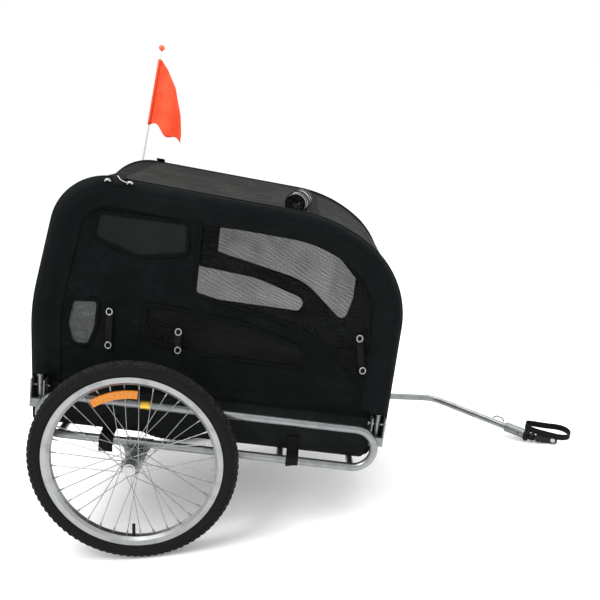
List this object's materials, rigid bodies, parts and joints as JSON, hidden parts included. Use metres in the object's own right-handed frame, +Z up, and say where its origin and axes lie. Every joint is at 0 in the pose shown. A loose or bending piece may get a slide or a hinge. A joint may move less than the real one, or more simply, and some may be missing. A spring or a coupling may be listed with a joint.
{
  "type": "bicycle cargo trailer",
  "caption": "Covered pet and cargo trailer for a bicycle: black cloth cabin with mesh windows on a bent tube frame, spoked wheels, offset drawbar with flexible hitch and a flag.",
  "frame": {"origin": "on the ground, under the middle of the outer box", "axes": "+X forwards along the trailer towards the hitch, +Y to the trailer's left, +Z up"},
  "size_m": [1.4427, 0.776, 1.2463],
  "materials": {
    "tyre": "matte",
    "inner_tube": "matte",
    "rim": "satin",
    "spokes": "satin",
    "hub": "satin",
    "steel": "satin",
    "amber": "gloss",
    "chrome": "gloss",
    "frame_tube": "satin",
    "black_cloth": "matte",
    "zinc_steel": "satin",
    "black_plastic": "satin",
    "roof_cloth": "matte",
    "mesh": "matte",
    "tub_cloth": "satin",
    "board": "matte",
    "cover_cloth": "satin",
    "webbing": "matte",
    "pole": "satin",
    "orange_plastic": "gloss",
    "flag_cloth": "satin",
    "black_rubber": "matte"
  },
  "bodies": {
    "frame": {"axle_bracket_left": "zinc_steel", "axle_bracket_right": "zinc_steel", "axle_clips": "steel", "axle_left": "chrome", "axle_right": "chrome", "cover_roll": "cover_cloth", "cross_tubes": "frame_tube", "drawbar_brackets": "zinc_steel", "flag_holder": "black_plastic", "floor_board": "board", "foot_brackets": "zinc_steel", "foot_pins": "steel", "foot_plugs": "black_plastic", "front_screen": "mesh", "hoop_left": "frame_tube", "hoop_right": "frame_tube", "rail_straps": "webbing", "rear_panel": "black_cloth", "roll_ties": "webbing", "roof_cover": "roof_cloth", "side_loop_left": "frame_tube", "side_loop_right": "frame_tube", "side_panel_left": "black_cloth", "side_panel_right": "black_cloth", "top_bars": "frame_tube", "tub_walls": "tub_cloth", "window_mesh": "mesh"},
    "wheel_left": {"tyre_left": "tyre", "inner_tube_left": "inner_tube", "rim_left": "rim", "spokes_left": "spokes", "hub_left": "hub", "bearings_left": "steel", "spoke_reflector_left": "amber"},
    "button_left": {"axle_button_left": "chrome"},
    "wheel_right": {"tyre_right": "tyre", "inner_tube_right": "inner_tube", "rim_right": "rim", "spokes_right": "spokes", "hub_right": "hub", "bearings_right": "steel", "spoke_reflector_right": "amber"},
    "button_right": {"axle_button_right": "chrome"},
    "drawbar_arm": {"drawbar": "frame_tube", "drawbar_bolts": "steel", "collar": "zinc_steel", "collar_bolt": "steel", "coupler_root": "black_rubber", "strap_clip": "steel", "strap_loop": "webbing"},
    "knob": {"catch_knob": "black_plastic"},
    "knuckle": {"coupler_knuckle": "black_rubber"},
    "tongue": {"tongue": "black_plastic", "hitch_pin": "steel", "pin_clip": "steel"},
    "door": {"rear_door": "black_cloth"},
    "flag_staff": {"flag_pole": "pole", "pole_ferrule": "steel", "pole_ball": "orange_plastic", "flag": "flag_cloth"}
  },
  "joints": [
    {"name": "wheel_left_spin", "type": "hinge", "parent": "frame", "child": "wheel_left", "pos_m": [-0.46739, 0.34, 0.254], "axis": [0, 1, 0], "continuous": true},
    {"name": "wheel_right_spin", "type": "hinge", "parent": "frame", "child": "wheel_right", "pos_m": [-0.46739, -0.34, 0.254], "axis": [0, 1, 0], "continuous": true},
    {"name": "axle_button_left_press", "type": "slide", "parent": "frame", "child": "button_left", "axis": [0, -1, 0], "range_m": [0, 0.003], "stiffness_N_per_m": 900, "springref_m": -0.004},
    {"name": "axle_button_right_press", "type": "slide", "parent": "frame", "child": "button_right", "axis": [0, 1, 0], "range_m": [0, 0.003], "stiffness_N_per_m": 900, "springref_m": -0.004},
    {"name": "drawbar_swing", "type": "hinge", "parent": "frame", "child": "drawbar_arm", "pos_m": [-0.12454, 0.2205, 0.18326], "axis": [0.2216, 0, 0.9751], "range_deg": [-85, 0]},
    {"name": "catch_knob_turn", "type": "hinge", "parent": "drawbar_arm", "child": "knob", "pos_m": [0.04265, 0.25615, 0.12476], "axis": [0.2216, 0, 0.9751], "continuous": true},
    {"name": "coupler_yaw", "type": "hinge", "parent": "drawbar_arm", "child": "knuckle", "pos_m": [0.61176, 0.09085, 0.01593], "axis": [0.2216, 0, 0.9751], "range_deg": [-30, 30], "stiffness_Nm_per_rad": 6, "deforming": ["strap_loop"]},
    {"name": "tongue_pitch", "type": "hinge", "parent": "knuckle", "child": "tongue", "pos_m": [0.62894, 0.08373, 0.01203], "axis": [0.3653, 0.9272, -0.083], "range_deg": [-25, 25], "stiffness_Nm_per_rad": 6},
    {"name": "rear_door_open", "type": "hinge", "parent": "frame", "child": "door", "pos_m": [-0.69475, 0, 0.47785], "axis": [0, -1, 0], "range_deg": [0, 160]},
    {"name": "flag_pole_lift", "type": "slide", "parent": "frame", "child": "flag_staff", "axis": [0.3107, 0, 0.9505], "range_m": [0, 0.1]}
  ]
}
